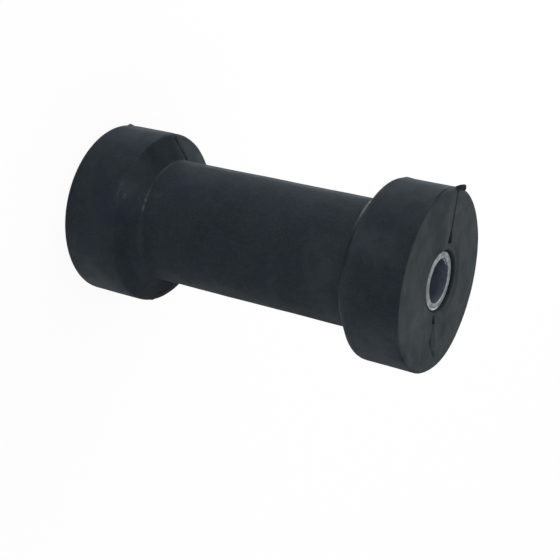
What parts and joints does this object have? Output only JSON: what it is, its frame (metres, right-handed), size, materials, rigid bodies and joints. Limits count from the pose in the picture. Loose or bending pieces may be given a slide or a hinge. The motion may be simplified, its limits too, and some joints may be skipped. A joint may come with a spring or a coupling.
{
  "type": "boat trailer roller",
  "caption": "Moulded black rubber keel roller with a straight waist between two wide flanges and a steel-sleeved bore.",
  "frame": {"origin": "centre of the bore, halfway along the roller", "axes": "+Z along the bore, up from the lower end face that the roller stands on to the end that carries the flash horn; +X towards the side of the mould's parting line with that horn"},
  "size_m": [0.0969, 0.094, 0.2032],
  "materials": {
    "rubber": "moulded, dull satin",
    "steel": "plain drawn tube, sawn ends"
  },
  "bodies": {
    "root": {"rubber_roller": "rubber", "steel_sleeve": "steel"}
  },
  "joints": []
}
